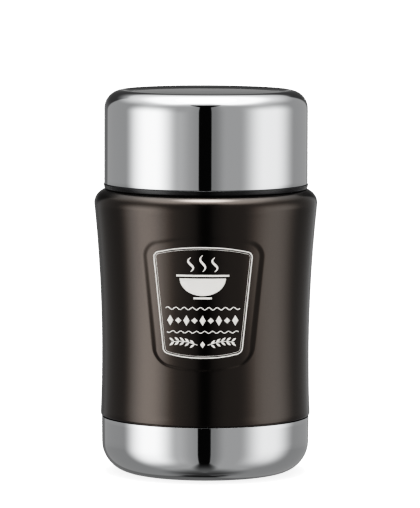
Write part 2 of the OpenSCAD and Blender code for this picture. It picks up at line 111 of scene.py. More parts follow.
# %% [markdown]
# ## Studio light
# Polished steel shows nothing but its surroundings, so the studio is what gives the jar its look: a soft grey
# tent with a tall light box on each side, a wide one overhead, and a narrow dark slot in front, where the
# camera looks in. A world shader can draw all of this from the direction of a ray. That is less noisy than
# lamps, and every polished piece then reflects the same room. The camera itself sees a plain white sheet.

# %% Helpers for the light tent
world = bpy.data.worlds.new("light_tent")
world.use_nodes = True
bpy.context.scene.world = world
tent = world.node_tree
tent.nodes.clear()


def math_node(operation, *values):
    """One step of arithmetic on the tent's angles."""
    return add_node(tent, "ShaderNodeMath", dict(enumerate(values)), operation=operation)


def times(one, other):
    return math_node("MULTIPLY", one, other)


def times_plus(one, other, rest):
    return math_node("MULTIPLY_ADD", one, other, rest)


def ramp(value, start, end, low=0.0, high=1.0):
    """Goes smoothly from low to high while the value goes from start to end."""
    inputs = {"Value": value, "From Min": start, "From Max": end, "To Min": low, "To Max": high}
    return add_node(tent, "ShaderNodeMapRange", inputs, interpolation_type="SMOOTHSTEP")


def between(value, rise_from, rise_to, fall_from, fall_to):
    """0 outside two soft borders and 1 between them."""
    return times(ramp(value, rise_from, rise_to), ramp(value, fall_to, fall_from))


def blend(share, one, other):
    """Mixes two strengths: one where the share is 0, the other where it is 1."""
    return add_node(tent, "ShaderNodeMix", {"Factor": share, "A": one, "B": other}, data_type="FLOAT")


# %% Turn a ray's direction into angles
# in degrees: turn is 0 towards the camera and grows to the right, height is 0 level and 90 overhead
direction = tent.nodes.new("ShaderNodeTexCoord").outputs["Generated"]
spin_inputs = {"Vector": direction, "Angle": -math.radians(CAMERA_TURN)}
direction = add_node(tent, "ShaderNodeVectorRotate", spin_inputs, rotation_type="Z_AXIS")
split = tent.nodes.new("ShaderNodeSeparateXYZ")
tent.links.new(direction, split.inputs[0])
right, away, up = split.outputs
towards = times(away, -1.0)
turn = math_node("DEGREES", math_node("ARCTAN2", right, towards))
turn_size = math_node("ABSOLUTE", turn)
height = math_node("DEGREES", math_node("ARCSINE", up))
print("tent nodes:", len(tent.nodes))

# %% [markdown]
# The walls are a mid grey in front and darker towards the back and the ground. Each box has soft borders,
# because real ones are lit from behind and fade towards their rims. A name in FADE holds the two values
# between which something comes or goes, and one in SPAN the four values of a strip's two soft borders.

# %% Hang the walls
FRONT_WALL, SIDE_WALL, LOW_SIDE_WALL = 0.52, 0.45, 0.365
LOW_WALL_FADE, SIDE_WALL_FADE = (-13, -4), (70, 105)
FRONT_DIPS = [((-22, -8, 8, 24), -0.09), ((-5, 0, 8, 24), -0.1)]
side_wall = ramp(height, *LOW_WALL_FADE, LOW_SIDE_WALL, SIDE_WALL)
glow = blend(ramp(turn_size, *SIDE_WALL_FADE), FRONT_WALL, side_wall)
for dip_span, dip in FRONT_DIPS:
    glow = times_plus(between(turn, *dip_span), dip, glow)
print("tent nodes:", len(tent.nodes))

# %% Hang the side boxes
LEFT_BOX, LEFT_SPILL, RIGHT_BOX = 2.15, 0.15, 1.28
LOW_BOX, LOW_BOX_FADE = 0.72, (-30, -2)
LEFT_TOP_FADE, LEFT_FOOT_FADE, LEFT_SPAN = (42, -4), (-60, -24), (-104, -68, -61, -31)
RIGHT_TOP_FADE, RIGHT_FOOT_FADE = (44, 2), (-58, -22)
RIGHT_FAR_FADE, RIGHT_NEAR_FADE = (120, 84), (38, 71)
RIGHT_SLANT, RIGHT_SLANT_FADE = 5, (-4, -14)
SPILL_SPAN, SPILL_HEIGHT_SPAN = (-104, -80, -31, -17), (-56, -34, -4, 22)
low_box = ramp(height, *LOW_BOX_FADE, LOW_BOX, 1.0)
left_foot = times(low_box, ramp(height, *LEFT_FOOT_FADE))
left_tall = times(ramp(height, *LEFT_TOP_FADE), left_foot)
left_box = times(between(turn, *LEFT_SPAN), left_tall)
right_foot = times(low_box, ramp(height, *RIGHT_FOOT_FADE))
right_tall = times(ramp(height, *RIGHT_TOP_FADE), right_foot)
right_far = math_node("ADD", turn, ramp(height, *RIGHT_SLANT_FADE, 0, RIGHT_SLANT))
right_wide = times(ramp(right_far, *RIGHT_FAR_FADE), ramp(turn, *RIGHT_NEAR_FADE))
right_box = times(right_wide, right_tall)
left_spill = times(between(turn, *SPILL_SPAN), between(height, *SPILL_HEIGHT_SPAN))
for light, strength in ((left_box, LEFT_BOX), (right_box, RIGHT_BOX), (left_spill, LEFT_SPILL)):
    glow = times_plus(light, strength, glow)
print("tent nodes:", len(tent.nodes))

# %% [markdown]
# Under the jar the light dies away. Behind it hangs a dark cloth with slanted sides, a little lighter below,
# and a strip of light comes in where the cloth nearly meets the paper.

# %% Add the ground and the dark cloth
GROUND, GROUND_FADE = 0.3, (-60, -84)
glow = times(glow, ramp(height, *GROUND_FADE, 1.0, GROUND))

CLOTH_SHIFT, CLOTH_HALF, CLOTH_SPREAD, CLOTH_SPREAD_FADE = 6.75, 17.25, 18.0, (-24, 24)
CLOTH_SIDE_FADE, CLOTH_TOP_FADE, CLOTH_TILT = (2.5, -2.5), (34.5, 30), 8.0
CLOTH_HIGH, CLOTH_LOW, CLOTH_FADE = 0.1, 0.22, (14, -6)
CLOTH_FOOT, CLOTH_FOOT_FADE = 0.45, (-55, -68)
GAP_LIGHT, GAP_SPAN, GAP_SIDE_FADE = 0.13, (-2.0, 1.2, 2.6, 5.4), (14, 6)
back_turn = math_node("DEGREES", math_node("ARCTAN2", right, away))
off_cloth = math_node("ABSOLUTE", math_node("ADD", back_turn, CLOTH_SHIFT))
cloth_half = times_plus(ramp(height, *CLOTH_SPREAD_FADE), CLOTH_SPREAD, CLOTH_HALF)
cloth_side = ramp(math_node("SUBTRACT", off_cloth, cloth_half), *CLOTH_SIDE_FADE)
cloth_top = times_plus(right, CLOTH_TILT, height)
cloth = times(cloth_side, ramp(cloth_top, *CLOTH_TOP_FADE))
cloth_foot = ramp(height, *CLOTH_FOOT_FADE, 1.0, CLOTH_FOOT)
cloth_glow = times(ramp(height, *CLOTH_FADE, CLOTH_HIGH, CLOTH_LOW), cloth_foot)
gap = times(between(height, *GAP_SPAN), ramp(off_cloth, *GAP_SIDE_FADE))
cloth_glow = times_plus(gap, GAP_LIGHT, cloth_glow)
glow = blend(cloth, glow, cloth_glow)
print("tent nodes:", len(tent.nodes))

# %% [markdown]
# Overhead there is a soft glow that hangs lower at the back than in front. The overhead box inside it has an
# edge that is firm in front and softer to the sides. A lean moves an edge up or down on one side.

# %% Hang the overhead box
CEILING_GLOW, CEILING_BOX, BOX_CORE = 1.0, 1.6, 12.0
CEILING_FADE, CEILING_TILT, CORE_FADE = (28.75, 58.75), -2.0, (70, 84)
FRONT_LEAN, SIDE_LEAN, FRONT_LEAN_FADE = -10.5, 1.5, (15, 80)
BACK_LEAN, BACK_LEAN_FADE = 5, (90, 130)
LEFT_LEAN, LEFT_LEAN_FADE, RIGHT_LEAN, RIGHT_LEAN_FADE = 7.5, (-20, -60), 8.5, (5, 40)
BOX_EDGE, FIRM_EDGE, SOFT_EDGE, SOFT_EDGE_FADE = 61.0, 2.5, 9.0, (10, 55)
front_lean = ramp(turn_size, *FRONT_LEAN_FADE, FRONT_LEAN, SIDE_LEAN)
lean = math_node("ADD", front_lean, ramp(turn_size, *BACK_LEAN_FADE, 0, BACK_LEAN))
right_share = math_node("SINE", math_node("RADIANS", turn))
ceiling_height = times_plus(right_share, CEILING_TILT, math_node("ADD", height, lean))
glow = times_plus(ramp(ceiling_height, *CEILING_FADE), CEILING_GLOW, glow)
left_lean = ramp(turn, *LEFT_LEAN_FADE, 0, LEFT_LEAN)
box_lean = math_node("ADD", left_lean, ramp(turn, *RIGHT_LEAN_FADE, 0, RIGHT_LEAN))
box_height = math_node("ADD", math_node("SUBTRACT", height, right_share), box_lean)
edge_width = ramp(turn_size, *SOFT_EDGE_FADE, FIRM_EDGE, SOFT_EDGE)
box_edge = math_node("DIVIDE", math_node("SUBTRACT", box_height, BOX_EDGE), edge_width)
glow = times_plus(ramp(box_edge, -1, 1), CEILING_BOX, glow)
glow = times_plus(ramp(height, *CORE_FADE), BOX_CORE, glow)
print("tent nodes:", len(tent.nodes))

# %% [markdown]
# The slot in front is where the camera looks in. It widens upwards and downwards and softens towards the floor.
# A small dark patch lies low behind the jar, where the polished foot mirrors the shade that it stands in.

# %% Cut the slot
SLOT_SHIFT, SLOT_HALF, SLOT_TOP_FADE = 0.9, 7.1, (54.5, 50)
HIGH_SPREAD, HIGH_SPREAD_FADE, LOW_SPREAD, LOW_SPREAD_FADE = 16, (38, 53), 14, (-42, -72)
SLOT_FIRM, SLOT_SOFT, SLOT_SOFT_FADE = 0.7, 12, (-38, -68)
SLOT_DARK, SLOT_FOOT_LIGHT, SLOT_LIGHT_FADE = 0.008, 0.2, (-42, -82)
high_spread = ramp(height, *HIGH_SPREAD_FADE, 0, HIGH_SPREAD)
slot_spread = math_node("ADD", high_spread, ramp(height, *LOW_SPREAD_FADE, 0, LOW_SPREAD))
slot_soft = ramp(height, *SLOT_SOFT_FADE, SLOT_FIRM, SLOT_SOFT)
slot_off = math_node("SUBTRACT", math_node("ABSOLUTE", math_node("ADD", turn, SLOT_SHIFT)), SLOT_HALF)
slot_off = math_node("DIVIDE", math_node("SUBTRACT", slot_off, slot_spread), slot_soft)
slot = times(ramp(slot_off, 1, -1), ramp(height, *SLOT_TOP_FADE))
glow = blend(slot, glow, ramp(height, *SLOT_LIGHT_FADE, SLOT_DARK, SLOT_FOOT_LIGHT))
print("tent nodes:", len(tent.nodes))

# %% Lay the foot's shade and close the tent
# the shade's borders as shares of a ray's direction: away from the camera, to the right, and up
FOOT_SHADE, SHADE_DOWN_FADE = 0.03, (-0.6, -0.8)
SHADE_AWAY_SPAN, SHADE_RIGHT_SPAN = (0.24, 0.31, 0.36, 0.43), (-0.2, -0.12, 0.12, 0.2)
shade = times(between(away, *SHADE_AWAY_SPAN), between(right, *SHADE_RIGHT_SPAN))
shade = times(shade, ramp(up, *SHADE_DOWN_FADE))
glow = blend(shade, glow, FOOT_SHADE)

WHITE, PAPER_WHITE = to_linear("#FFFFFF"), 2.0
tent_light = add_node(tent, "ShaderNodeBackground", {"Color": WHITE, "Strength": glow})
paper = add_node(tent, "ShaderNodeBackground", {"Color": WHITE, "Strength": PAPER_WHITE})
seen = tent.nodes.new("ShaderNodeLightPath").outputs["Is Camera Ray"]
mixed = add_node(tent, "ShaderNodeMixShader", {0: seen, 1: tent_light, 2: paper})
add_node(tent, "ShaderNodeOutputWorld", {"Surface": mixed})
print("tent nodes:", len(tent.nodes))

# %% [markdown]
# ## Tone
# A camera holds back its highlights and deepens its shadows a little. A tone curve does the same here, so
# that the light boxes can be as strong as real ones without burning out on the steel. Its points are pairs of
# scene light and picture light; the white paper sits at the curve's upper end.

# %% Set the tone curve
TONE_WHITE = 2.0
TONE_POINTS = [
    (0.02, 0.005), (0.0315, 0.0092), (0.0425, 0.0145), (0.06, 0.026), (0.09, 0.055), (0.12, 0.087),
    (0.15, 0.119), (0.19, 0.168), (0.24, 0.23), (0.35, 0.35), (0.5, 0.485), (0.7, 0.63), (0.9, 0.735),
    (1.1, 0.81), (1.35, 0.885), (1.6, 0.94), (1.9, 0.98),
]
view_settings = bpy.context.scene.view_settings
view_settings.view_transform = "Standard"
view_settings.use_curve_mapping = True
tone = view_settings.curve_mapping
tone.white_level = (TONE_WHITE,) * 3
for light, shown in TONE_POINTS:
    tone.curves[3].points.new(light / TONE_WHITE, shown)
tone.update()
print("tone curve points:", len(tone.curves[3].points))

# %% [markdown]
# ## Floor
# The jar stands on a sheet of white paper, lit almost to pure white. It glows for the camera and keeps a
# trace of diffuse shading, which leaves a faint contact shade under the foot. The polished steel doesn't
# mirror it: what the steel shows from below comes from the tent.

# %% Helper that makes an object
def new_object(bm, name, material):
    """Turns a bmesh into an object with one material."""
    mesh = bpy.data.meshes.new(name)
    bm.to_mesh(mesh)
    bm.free()
    mesh.materials.append(material)
    made = bpy.data.objects.new(name, mesh)
    bpy.context.scene.collection.objects.link(made)
    return made


# %% Lay the paper
FLOOR_SIZE, PAPER_GLOW = 12.0, 1.15
paper_material = bpy.data.materials.new("white_paper_sweep")
paper_material.use_nodes = True
sheet_tree = paper_material.node_tree
sheet_tree.nodes.clear()
matt = add_node(sheet_tree, "ShaderNodeBsdfDiffuse", {"Color": to_linear("#E8E8E8")})
shine = add_node(sheet_tree, "ShaderNodeEmission", {"Color": WHITE, "Strength": PAPER_GLOW})
both = add_node(sheet_tree, "ShaderNodeAddShader", {0: matt, 1: shine})
camera_ray = sheet_tree.nodes.new("ShaderNodeLightPath").outputs["Is Camera Ray"]
shown = add_node(sheet_tree, "ShaderNodeMixShader", {0: camera_ray, 1: matt, 2: both})
add_node(sheet_tree, "ShaderNodeOutputMaterial", {"Surface": shown})

floor_bm = bmesh.new()
bmesh.ops.create_grid(floor_bm, x_segments=1, y_segments=1, size=FLOOR_SIZE / 2)
floor = new_object(floor_bm, "paper_floor", paper_material)
floor.visible_glossy = False
print("floor:", FLOOR_SIZE, "m square")

# %% [markdown]
# ## Finishes
# Each finish starts from what the real one is. A metal takes its whole look from reflection, so it needs a
# base colour, a roughness and little else. A lacquer is a coloured layer under a clear coat. Moulded plastic is
# dull where the mould was etched and glossy where it was polished. A noise pattern in the object's own
# coordinates varies the roughness and raises a fine relief.

# %% Helper for finishes
GRAIN_DETAIL, GRAIN_ROUGHNESS = 3.0, 0.55
GRAIN_LOW, GRAIN_HIGH = 0.3, 0.7
METAL = {"Metallic": 1.0}
finishes = {}


def new_finish(slot, name, colour, values, grain, roughness, relief):
    """Makes a slot's finish. The pattern's size is grain and its height relief, in mm; roughness is a range."""
    material = bpy.data.materials.new(name)
    material.use_nodes = True
    tree = material.node_tree
    shader = tree.nodes["Principled BSDF"]
    shader.inputs["Base Color"].default_value = to_linear(colour)
    for key, value in values.items():
        shader.inputs[key].default_value = value
    place = tree.nodes.new("ShaderNodeTexCoord").outputs["Object"]
    noise_inputs = {"Vector": place, "Scale": 1 / (grain * MM), "Detail": GRAIN_DETAIL,
                    "Roughness": GRAIN_ROUGHNESS}
    noise = add_node(tree, "ShaderNodeTexNoise", noise_inputs)
    spread = {"Value": noise, "From Min": GRAIN_LOW, "From Max": GRAIN_HIGH,
              "To Min": roughness[0], "To Max": roughness[1]}
    tree.links.new(add_node(tree, "ShaderNodeMapRange", spread), shader.inputs["Roughness"])
    bump = add_node(tree, "ShaderNodeBump", {"Strength": 1.0, "Distance": relief * MM, "Height": noise})
    tree.links.new(bump, shader.inputs["Normal"])
    finishes[slot] = material


# %% [markdown]
# ### Metals
# The lid and the base cup are stainless steel, buffed to a mirror. The food vessel is electropolished, which
# leaves it bright but soft. The hidden sheets are as drawn, the foil is soft copper, and the getter is
# pressed metal powder.

# %% Metals
# buffed stainless steel: a clean mirror in a neutral grey, with a faint haze from handling
new_finish("polished_steel", "buffed_stainless_steel", "#CBCCCD", METAL, 14, (0.03, 0.05), 0.0002)
# electropolished stainless steel: bright, with soft edges to its reflections
new_finish("liner_steel", "electropolished_steel", "#D2D1CE", METAL, 3, (0.16, 0.24), 0.004)
# drawn sheet steel: grey, with the dull bloom of the press
new_finish("plain_steel", "drawn_sheet_steel", "#B9B9BA", METAL, 1.5, (0.28, 0.42), 0.006)
# hard-drawn spring wire: bright and smooth
new_finish("spring_steel", "spring_wire", "#C4C4C6", METAL, 0.5, (0.18, 0.28), 0.002)
# copper foil wrapped by hand: warm and slightly creased
new_finish("copper_foil", "wrapped_copper_foil", "#D9936B", METAL, 6, (0.2, 0.34), 0.12)
# pressed zirconium powder: dark, dull and grainy
new_finish("getter_metal", "pressed_getter_powder", "#5B5D61", METAL, 0.2, (0.6, 0.8), 0.03)
# solder, melted and set: pale and a little rippled
new_finish("seal_metal", "set_solder", "#CFCBC2", METAL, 1.2, (0.25, 0.4), 0.03)
print("metals:", len(finishes))

# %% [markdown]
# ### Lacquer, plastics, silicone and ink
# The body's lacquer has fine metal flakes in a dark bronze base under a satin clear coat. The stopper is
# polypropylene from an etched mould, and the rim ring from a polished one.

# %% Lacquer
# dark bronze metallic lacquer: a tinted metal sparkle that is broad and dim, under a neutral satin coat
coat = {"Metallic": 1.0, "Coat Weight": 1.0, "Coat Roughness": 0.19, "Coat IOR": 1.5,
        "Specular Tint": to_linear("#BCBCBC")}
new_finish("bronze_lacquer", "dark_bronze_lacquer", "#39312B", coat, 0.6, (0.19, 0.23), 0.0008)
lacquer = finishes["bronze_lacquer"].node_tree
lacquer_shader = lacquer.nodes["Principled BSDF"]
# flakes are 0.05 mm across; they are drawn at 0.3 mm so that a close view still shows them
FLAKE_SIZE = 0.3
flake_place = lacquer.nodes.new("ShaderNodeTexCoord").outputs["Object"]
flakes = lacquer.nodes.new("ShaderNodeTexVoronoi")
flakes.inputs["Scale"].default_value = 1 / (FLAKE_SIZE * MM)
lacquer.links.new(flake_place, flakes.inputs["Vector"])
flake_tone = add_node(lacquer, "ShaderNodeSeparateColor", {"Color": flakes.outputs["Color"]})
flake_colours = {"Factor": flake_tone, "A": to_linear("#372F29"), "B": to_linear("#3B332D")}
add_node(lacquer, "ShaderNodeMix", flake_colours, data_type="RGBA")
lacquer.links.new(lacquer.nodes["Mix"].outputs["Result"], lacquer_shader.inputs["Base Color"])
print("lacquer nodes:", len(lacquer.nodes))

# %% Plastics, silicone, foam and ink
# polypropylene from a polished mould: near black with a soft gloss
new_finish("black_plastic", "black_polypropylene", "#101012", {"IOR": 1.56}, 0.8, (0.17, 0.23), 0.002)
# polypropylene from an etched mould: charcoal, with a fine matt grain
new_finish("dark_plastic", "charcoal_polypropylene", "#26272A", {"IOR": 1.49}, 0.35, (0.42, 0.55), 0.012)
# the button's plastic: mid grey, smooth
new_finish("grey_plastic", "grey_button_plastic", "#A9AEB3", {"IOR": 1.5}, 0.5, (0.3, 0.38), 0.004)
# expanded foam: off-white, with its beads showing
new_finish("foam", "expanded_foam", "#E4E0D6", {"IOR": 1.4}, 1.6, (0.8, 0.95), 0.15)
# food-grade silicone: rubbery, with a soft sheen
new_finish("silicone", "grey_silicone", "#4A4D50", {"IOR": 1.41}, 0.4, (0.5, 0.6), 0.006)
new_finish("light_silicone", "pale_silicone", "#A4A9AD", {"IOR": 1.41}, 0.4, (0.5, 0.6), 0.006)
# screen-printed ink: a light warm grey that stands a hair above the lacquer
new_finish("print_ink", "screen_ink", "#D6D4D0", {"IOR": 1.5}, 0.3, (0.45, 0.6), 0.002)
print("finishes:", sorted(finishes))

# %% [markdown]
# ## Turned shapes
# Nearly every piece of the jar is round, so it can be turned: half of its section is drawn as a wire in the
# front plane, its corners are rounded, and the wire is spun once about the axis. A corner is rounded by
# bevelling the wire's vertex, and long straight runs are divided so that highlights on them stay straight.

# %% Helpers for turned shapes
LEAST_CORNER_STEPS = 4


def round_corner(bm, vert, radius):
    """Rounds one corner of a wire to a radius in mm. A large one gets more steps."""
    along, back_along = [(edge.other_vert(vert).co - vert.co).normalized() for edge in vert.link_edges]
    reach = radius * MM / math.tan(along.angle(back_along) / 2)
    bmesh.ops.bevel(bm, geom=[vert], offset=reach, offset_type="OFFSET", affect="VERTICES",
                    segments=int(LEAST_CORNER_STEPS + radius), profile=0.5, material=-1)


def draw_section(bm, corners, closed):
    """Draws a section from (radius, height, rounding) corners in mm. A closed one is a ring's section."""
    verts = [bm.verts.new((r * MM, 0, z * MM)) for r, z, _ in corners]
    for start, end in zip(verts, verts[1:] + verts[:closed]):
        bm.edges.new((start, end))
    for vert, (_, _, rounding) in zip(verts, corners):
        if rounding:
            round_corner(bm, vert, rounding)


def divide_runs(bm, longest):
    """Divides edges of a section that are longer than a length in mm."""
    for edge in list(bm.edges):
        cuts = int(edge.calc_length() / (longest * MM))
        if cuts:
            bmesh.ops.subdivide_edges(bm, edges=[edge], cuts=cuts)


# %% Helpers that spin and join
MERGE_WITHIN = 0.002


def whole(bm):
    return bm.verts[:] + bm.edges[:] + bm.faces[:]


def spin(bm, geom, degrees, steps, rise=0, merge=False, centre=(0, 0, 0), axis=(0, 0, 1)):
    """Spins geometry, round the jar's axis if no other is given, and lifts it. Returns the last step's."""
    made = bmesh.ops.spin(bm, geom=geom, cent=centre, axis=axis, dvec=(0, 0, rise * MM / steps),
                          angle=math.radians(degrees), steps=steps, use_merge=merge, use_duplicate=False)
    return made["geom_last"]


def turn_section(bm, steps):
    """Spins the whole section once round the axis."""
    spin(bm, whole(bm), 360, steps, merge=True)


def pour(source, target):
    """Moves everything in one bmesh into another."""
    mesh = bpy.data.meshes.new("poured")
    source.to_mesh(mesh)
    source.free()
    target.from_mesh(mesh)
    bpy.data.meshes.remove(mesh)


def close_up(bm):
    """Merges the seams and poles, and turns the faces outwards."""
    bmesh.ops.remove_doubles(bm, verts=bm.verts, dist=MERGE_WITHIN * MM)
    bmesh.ops.recalc_face_normals(bm, faces=bm.faces)


# %% Helper that makes a piece
SHARP_FROM = 38


def make_piece(bm, name, body, slot, *nodes):
    """Gives a bmesh its finish and its place in the model's tree."""
    piece = new_object(bm, name, finishes[slot])
    piece.data.shade_smooth()
    piece.data.set_sharp_from_angle(angle=math.radians(SHARP_FROM))
    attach(piece, body)
    if nodes:
        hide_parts(*nodes)
    print(f"{name}: {len(piece.data.polygons)} faces, on {body}")
    return piece


def turned(name, body, slot, corners, closed=False, steps=128, longest=4.0, thread=None):
    """A turned piece that stands for the CAD node of the same name, with a thread on a wall if it has one."""
    bm = bmesh.new()
    draw_section(bm, corners, closed)
    divide_runs(bm, longest)
    turn_section(bm, steps)
    close_up(bm)
    if thread:
        add_thread(bm, *thread)
    return make_piece(bm, name + "_skin", body, slot, name)


# %% [markdown]
# ## Lid, rim ring and base cup
# The lid is a drawn steel cup with a wide soft edge. The base cup is its twin at the foot, rounder below,
# with a ring to stand on and a shallow recess inside it. Both are thin sheet, so their sections are drawn
# with both skins. The dark ring between the lid and the shoulder is moulded. Each corner of a section is a
# radius, a height and a rounding, all in mm.

# %% Turn the lid, the rim ring and the base cup
turned("lid_shell", "lid", "polished_steel", [
    (0, 167.45, 0), (17, 167.41, 60), (33, 167.3, 10), (36.3, 168, 2), (44.6, 168, 8), (44.6, 127.1, 0.15),
    (44.1, 127.1, 0.15), (44.1, 167.5, 7.5), (36.3, 167.5, 2), (33, 166.8, 10), (17, 166.91, 60), (0, 166.95, 0),
], steps=192, longest=2.0)
turned("lid_rim_ring", "rim_ring", "black_plastic", [
    (41.9, 124.8, 0.2), (44.4, 124.8, 0.3), (45, 127, 0.3), (43.15, 127, 0), (43.15, 129, 0.1),
    (42.65, 129, 0.1), (42.65, 127, 0), (41.9, 127, 0),
], closed=True, steps=192)
turned("base_cup", "jar", "polished_steel", [
    (0, 1.8, 0), (27, 1.8, 0.8), (28.8, 0, 0.6), (45.29, 0, 13.4), (45.59, 24.7, 0.2), (45.09, 24.7, 0.2),
    (44.79, 0.5, 12.9), (29, 0.5, 0.5), (27.2, 2.3, 0.8), (0, 2.3, 0),
], steps=192, longest=2.0)

# %% [markdown]
# ## Body
# The body's side is one very large arc that draws in at the waist and runs into the shoulder's rounding. Its
# section is swept with a vertex spun about each arc's centre. The front carries a pressed-in panel with
# slanted sides and arched ends. A mesh that follows the panel's border keeps the pressed step clean, so its
# grid has short steps there and is bent to run along the border.

# %% Sizes of the body
WAIST_R, WAIST_Z = 45.5, 52.0
SKIRT_R, SKIRT_LOW_Z, HEM_Z, HEM_FILLET = 44.59, 11, 25.1, 0.8
SHOULDER_R, SHOULDER_Z, SHOULDER_FILLET = 48.97, 124.6, 6.0
LEDGE_R, NECK_R, NECK_TOP_Z = 41.5, 38.4, 140.1
SHEET = 0.5
# above SLOPE_FROM degrees the shoulder's rounding goes on in a wider arc, up to the flat top
SLOPE_R, SLOPE_FROM = 14.0, 55.0
SHOULDER_CENTRE = (SHOULDER_R - SHOULDER_FILLET, SHOULDER_Z - SHOULDER_FILLET)
slope_lean = math.radians(SLOPE_FROM)
SLOPE_CENTRE = (SHOULDER_CENTRE[0] - (SLOPE_R - SHOULDER_FILLET) * math.cos(slope_lean),
                SHOULDER_CENTRE[1] - (SLOPE_R - SHOULDER_FILLET) * math.sin(slope_lean))
SLOPE_TO = math.degrees(math.asin((SHOULDER_Z - SLOPE_CENTRE[1]) / SLOPE_R))
# the side's arc has its smallest radius at the waist, and touches the shoulder's rounding
arc_in, arc_up = WAIST_R - SHOULDER_CENTRE[0], SHOULDER_CENTRE[1] - WAIST_Z
SIDE_ARC_R = (arc_in ** 2 + arc_up ** 2 - SHOULDER_FILLET ** 2) / (2 * (SHOULDER_R - WAIST_R))
SIDE_CENTRE_R = WAIST_R + SIDE_ARC_R
SIDE_TOP_ANGLE = math.degrees(math.atan2(arc_up, SIDE_ARC_R + arc_in))


def side_radius(z, depth=0.0):
    """Radius of the side at a height, on a surface that lies depth inside the outer one."""
    return SIDE_CENTRE_R - math.sqrt((SIDE_ARC_R + depth) ** 2 - (z - WAIST_Z) ** 2)


print("radius at the hem:", round(side_radius(HEM_Z + HEM_FILLET), 2), "at the waist:", side_radius(WAIST_Z))

# %% [markdown]
# The panel's border is described by its distance: each side is a straight line, and each end is two slanted
# lines that meet in a wide bend. Where two borders meet, the corner is rounded. The distance is negative
# inside, so a point's depth can be read straight from it.

# %% Shape of the panel
# half width and height of the upper and the lower corners, the rise of the arched ends, and the bends' radii
PANEL_TOP, PANEL_LOW = (26.3, 104.0), (21.0, 52.3)
PANEL_ARCH, PANEL_CORNER, PANEL_TOP_BEND, PANEL_LOW_BEND = 4.6, 6.0, 78.9, 63.0
# how far an end's slanted lines run on, and the cosines of the sides' and the ends' slants
END_OVERRUN, SIDE_SLANT, END_SLANT = 3, 0.995, 0.985


def end_height(x, corner, arch, bend):
    """Height of an arched end at x. It rises from its corner by arch, with a wide bend in the middle."""
    slope = arch / corner[0]
    lean = math.atan(abs(slope))
    flat_part = bend * math.sin(lean)
    sign = math.copysign(1, arch)
    if abs(x) > flat_part:
        return corner[1] + arch - slope * min(abs(x), corner[0] + END_OVERRUN)
    peak = corner[1] + arch - sign * bend * (1 / math.cos(lean) - 1)
    return peak - sign * (bend - math.sqrt(bend ** 2 - x * x))


def top_height(x):
    return end_height(x, PANEL_TOP, PANEL_ARCH, PANEL_TOP_BEND)


def low_height(x):
    return end_height(x, PANEL_LOW, -PANEL_ARCH, PANEL_LOW_BEND)


def half_width(z):
    """Half of the panel's width at a height."""
    share = (z - PANEL_LOW[1]) / (PANEL_TOP[1] - PANEL_LOW[1])
    return PANEL_LOW[0] + (PANEL_TOP[0] - PANEL_LOW[0]) * share


def panel_distance(x, z):
    """Distance to the panel's border in mm, negative inside."""
    side = (abs(x) - half_width(z)) * SIDE_SLANT
    end = max(z - top_height(x), low_height(x) - z) * END_SLANT
    inside = min(max(side, end), -PANEL_CORNER)
    return inside + math.hypot(max(side + PANEL_CORNER, 0), max(end + PANEL_CORNER, 0))


# %% Shape of the pressed step
# the step is LOW_STEP wide at the panel's foot and PANEL_STEP wide from STEP_CHANGE above it
PANEL_DEPTH, PANEL_STEP, LOW_STEP, STEP_CHANGE, STEP_INSIDE = 0.5, 2.4, 1.3, 10.0, 0.35


def pressed_depth(x, z):
    """How deep the panel is pressed in at a point. The step runs just inside the border."""
    step = LOW_STEP + (PANEL_STEP - LOW_STEP) * min(max((z - PANEL_LOW[1]) / STEP_CHANGE, 0), 1)
    share = min(max(0.5 - (panel_distance(x, z) + STEP_INSIDE) / step, 0), 1)
    return PANEL_DEPTH * share * share * (3 - 2 * share)


print("panel height in the middle:", round(top_height(0) - low_height(0), 1), "mm")

# %% [markdown]
# Now the section: skirt, hem, side, shoulder and neck. The side's arc is swept in five runs, with short steps
# where the panel's ends will be. The spin round the axis has five runs too, with short steps where its sides
# will be.

# %% Draw the body's section
body_bm = bmesh.new()
hem_top = HEM_Z + HEM_FILLET
hem_r = side_radius(hem_top)
draw_section(body_bm, [
    (SKIRT_R, SKIRT_LOW_Z, 0), (SKIRT_R, HEM_Z, 0), (hem_r, HEM_Z, HEM_FILLET), (hem_r, hem_top, 0),
], False)
tip = max(body_bm.verts, key=lambda vert: vert.co.z)


def swing(vert, centre, degrees, steps):
    """Sweeps a wire on from a vertex along an arc in the front plane, anticlockwise, and returns its end."""
    centre = (centre[0] * MM, 0, centre[1] * MM)
    last = spin(body_bm, [vert], degrees, steps, centre=centre, axis=(0, -1, 0))
    return [item for item in last if isinstance(item, bmesh.types.BMVert)][0]


def side_angle(z):
    return math.degrees(math.asin((z - WAIST_Z) / SIDE_ARC_R))


# each run of the side's arc ends at a height and has a number of steps
SIDE_RUNS = [(50.0, 12), (59.5, 38), (96.5, 26), (106.0, 38)]
SIDE_TOP_STEPS, SHOULDER_STEPS, SLOPE_STEPS = 7, 14, 4
angle_now = side_angle(hem_top)
for run_top, run_steps in SIDE_RUNS:
    tip = swing(tip, (SIDE_CENTRE_R, WAIST_Z), angle_now - side_angle(run_top), run_steps)
    angle_now = side_angle(run_top)
tip = swing(tip, (SIDE_CENTRE_R, WAIST_Z), angle_now - SIDE_TOP_ANGLE, SIDE_TOP_STEPS)
tip = swing(tip, SHOULDER_CENTRE, SLOPE_FROM + SIDE_TOP_ANGLE, SHOULDER_STEPS)
tip = swing(tip, SLOPE_CENTRE, SLOPE_TO - SLOPE_FROM, SLOPE_STEPS)
for r, z in [(LEDGE_R, SHOULDER_Z), (NECK_R, SHOULDER_Z), (NECK_R, NECK_TOP_Z)]:
    new_tip = body_bm.verts.new((r * MM, 0, z * MM))
    body_bm.edges.new((tip, new_tip))
    tip = new_tip
print("points in the section:", len(body_bm.verts))

